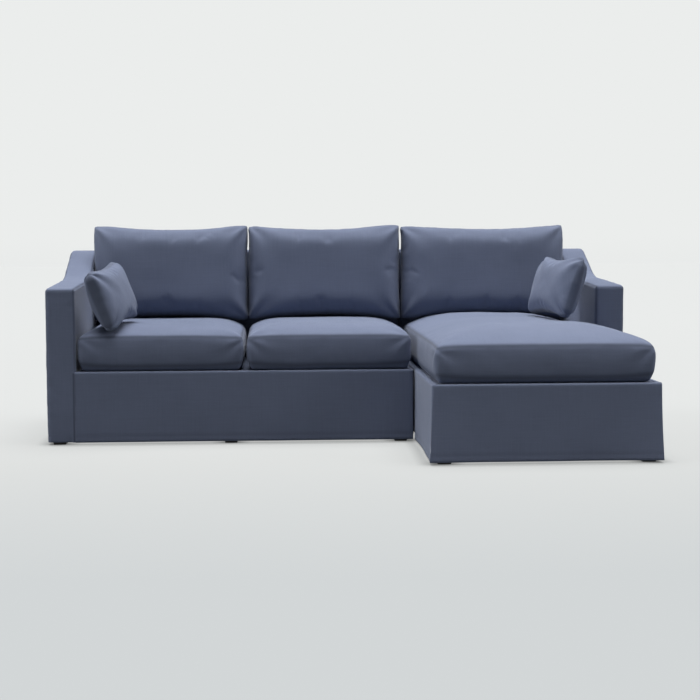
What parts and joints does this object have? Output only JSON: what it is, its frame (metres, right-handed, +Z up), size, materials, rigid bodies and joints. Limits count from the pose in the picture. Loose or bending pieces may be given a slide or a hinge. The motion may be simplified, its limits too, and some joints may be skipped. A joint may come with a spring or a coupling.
{
  "type": "sectional sofa",
  "caption": "Low sectional sofa with sloping slim arms, loose seat and back cushions, a chaise unit that hooks on at one end, and a side pillow at each arm.",
  "frame": {"origin": "on the floor under the middle of the whole sofa's box", "axes": "+X along the sofa from the two-seat end to the chaise end, -Y to the front, where the chaise reaches out, +Z up"},
  "size_m": [2.4, 1.57, 0.9258],
  "materials": {
    "upholstery": "brushed plain weave, blue grey",
    "foam": "open-cell cut foam",
    "filling": "crimped fibre in a plain lining",
    "wadding": "bonded wadding",
    "elastic_band": "woven elastic",
    "dust_cloth": "black non-woven cloth",
    "timber": "planed softwood, unfinished",
    "plywood": "sanded sheet, unfinished",
    "foot": "moulded, fine texture",
    "plated_steel": "zinc plated"
  },
  "bodies": {
    "two_seat_unit": {"two_seat_front_rail": "timber", "two_seat_rear_rail": "timber", "two_seat_side_rails": "timber", "two_seat_corner_blocks": "timber", "two_seat_feet": "foot", "two_seat_dust_cover": "dust_cloth", "two_seat_deck_pad": "foam", "two_seat_deck_cover": "upholstery", "two_seat_arm_boards": "plywood", "two_seat_arm_battens": "timber", "two_seat_arm_padding": "wadding", "two_seat_arm_cover": "upholstery", "two_seat_back_posts": "timber", "two_seat_back_rails": "timber", "two_seat_back_webbing": "elastic_band", "two_seat_back_padding": "wadding", "two_seat_back_cover": "upholstery", "two_seat_skirt": "upholstery", "two_seat_seat_webbing": "elastic_band", "two_seat_brackets": "plated_steel", "two_seat_bracket_screws": "plated_steel"},
    "chaise_unit": {"chaise_front_rail": "timber", "chaise_rear_rail": "timber", "chaise_side_rails": "timber", "chaise_corner_blocks": "timber", "chaise_feet": "foot", "chaise_dust_cover": "dust_cloth", "chaise_deck_pad": "foam", "chaise_deck_cover": "upholstery", "chaise_arm_boards": "plywood", "chaise_arm_battens": "timber", "chaise_arm_padding": "wadding", "chaise_arm_cover": "upholstery", "chaise_back_posts": "timber", "chaise_back_rails": "timber", "chaise_back_webbing": "elastic_band", "chaise_back_padding": "wadding", "chaise_back_cover": "upholstery", "chaise_skirt": "upholstery", "chaise_seat_webbing": "elastic_band", "chaise_brackets": "plated_steel", "chaise_bracket_screws": "plated_steel"},
    "left_seat_cushion": {"left_seat_cushion_cover": "upholstery", "left_seat_cushion_core": "foam"},
    "middle_seat_cushion": {"middle_seat_cushion_cover": "upholstery", "middle_seat_cushion_core": "foam"},
    "chaise_cushion": {"chaise_cushion_cover": "upholstery", "chaise_cushion_core": "foam"},
    "left_back_cushion": {"left_back_cushion_cover": "upholstery", "left_back_cushion_core": "filling"},
    "middle_back_cushion": {"middle_back_cushion_cover": "upholstery", "middle_back_cushion_core": "filling"},
    "right_back_cushion": {"right_back_cushion_cover": "upholstery", "right_back_cushion_core": "filling"},
    "left_pillow": {"left_pillow_cover": "upholstery", "left_pillow_core": "filling"},
    "right_pillow": {"right_pillow_cover": "upholstery", "right_pillow_core": "filling"}
  },
  "joints": [
    {"name": "chaise_unit_lift", "type": "slide", "parent": "two_seat_unit", "child": "chaise_unit", "axis": [0, 0, 1], "range_m": [0, 0.08]},
    {"name": "left_seat_cushion_lift", "type": "slide", "parent": "two_seat_unit", "child": "left_seat_cushion", "axis": [0, 0, 1], "range_m": [0, 0.5]},
    {"name": "middle_seat_cushion_lift", "type": "slide", "parent": "two_seat_unit", "child": "middle_seat_cushion", "axis": [0, 0, 1], "range_m": [0, 0.5]},
    {"name": "chaise_cushion_lift", "type": "slide", "parent": "chaise_unit", "child": "chaise_cushion", "axis": [0, 0, 1], "range_m": [0, 0.5]},
    {"name": "left_back_cushion_lift", "type": "slide", "parent": "left_seat_cushion", "child": "left_back_cushion", "axis": [0, 0, 1], "range_m": [0, 0.32]},
    {"name": "middle_back_cushion_lift", "type": "slide", "parent": "middle_seat_cushion", "child": "middle_back_cushion", "axis": [0, 0, 1], "range_m": [0, 0.32]},
    {"name": "right_back_cushion_lift", "type": "slide", "parent": "chaise_cushion", "child": "right_back_cushion", "axis": [0, 0, 1], "range_m": [0, 0.32]},
    {"name": "left_pillow_lift", "type": "slide", "parent": "left_seat_cushion", "child": "left_pillow", "axis": [0, 0, 1], "range_m": [0, 0.33]},
    {"name": "right_pillow_lift", "type": "slide", "parent": "chaise_cushion", "child": "right_pillow", "axis": [0, 0, 1], "range_m": [0, 0.33]}
  ]
}
